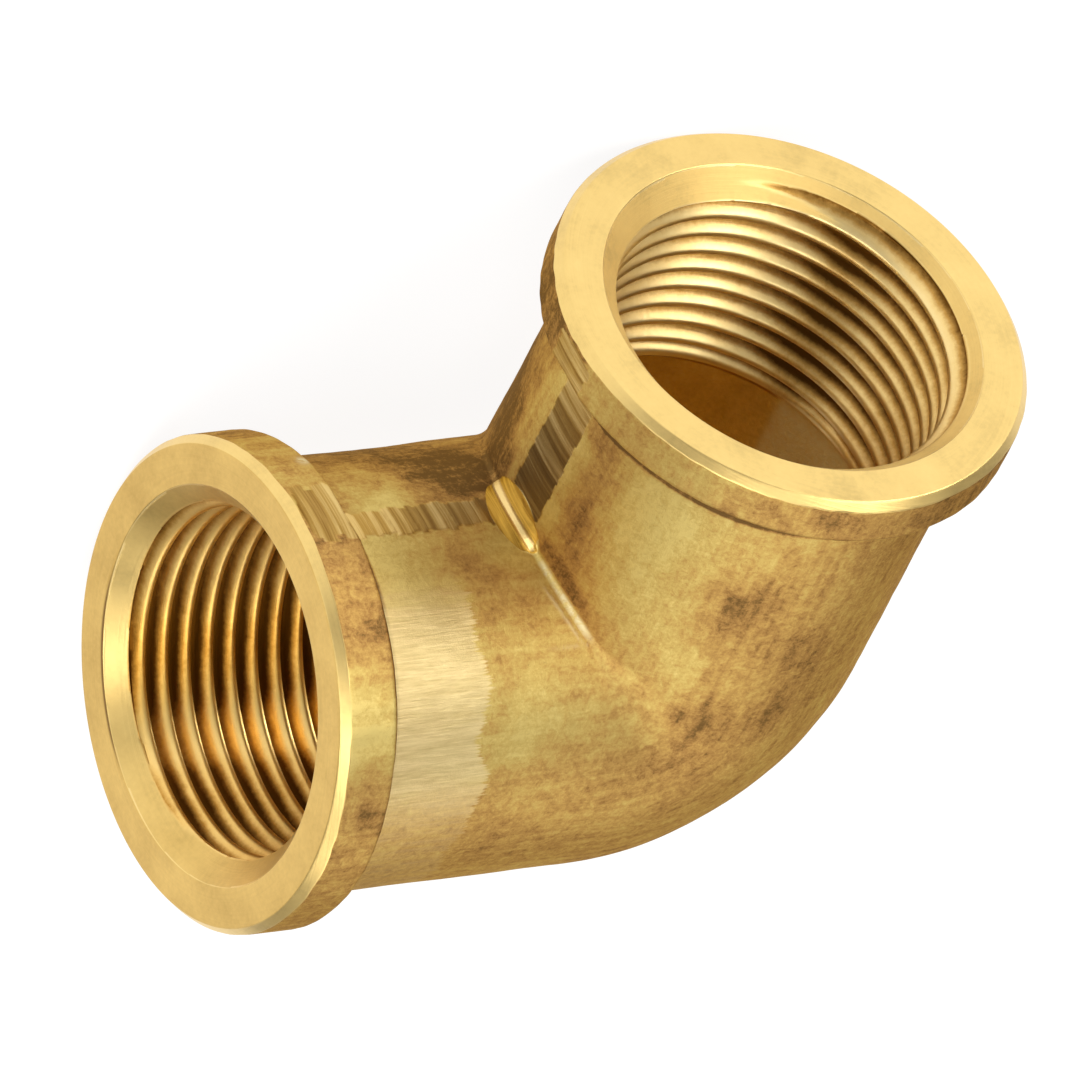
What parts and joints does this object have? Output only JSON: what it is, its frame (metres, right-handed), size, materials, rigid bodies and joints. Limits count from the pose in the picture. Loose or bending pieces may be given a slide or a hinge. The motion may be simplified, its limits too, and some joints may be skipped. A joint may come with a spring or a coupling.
{
  "type": "pipe elbow",
  "caption": "Cast brass 90 degree pipe elbow with a female G 3/4 parallel thread, a raised band and a flat machined face at each end.",
  "frame": {"origin": "centre of port A's flat ring face", "axes": "+X out of port A along its axis, -Y out of port B along its axis, +Z square to both port axes"},
  "size_m": [0.0506, 0.0506, 0.0344],
  "materials": {
    "brass": "cast skin with a light brown patina, bright machined faces and threads"
  },
  "bodies": {
    "root": {"elbow_body": "brass"}
  },
  "joints": []
}
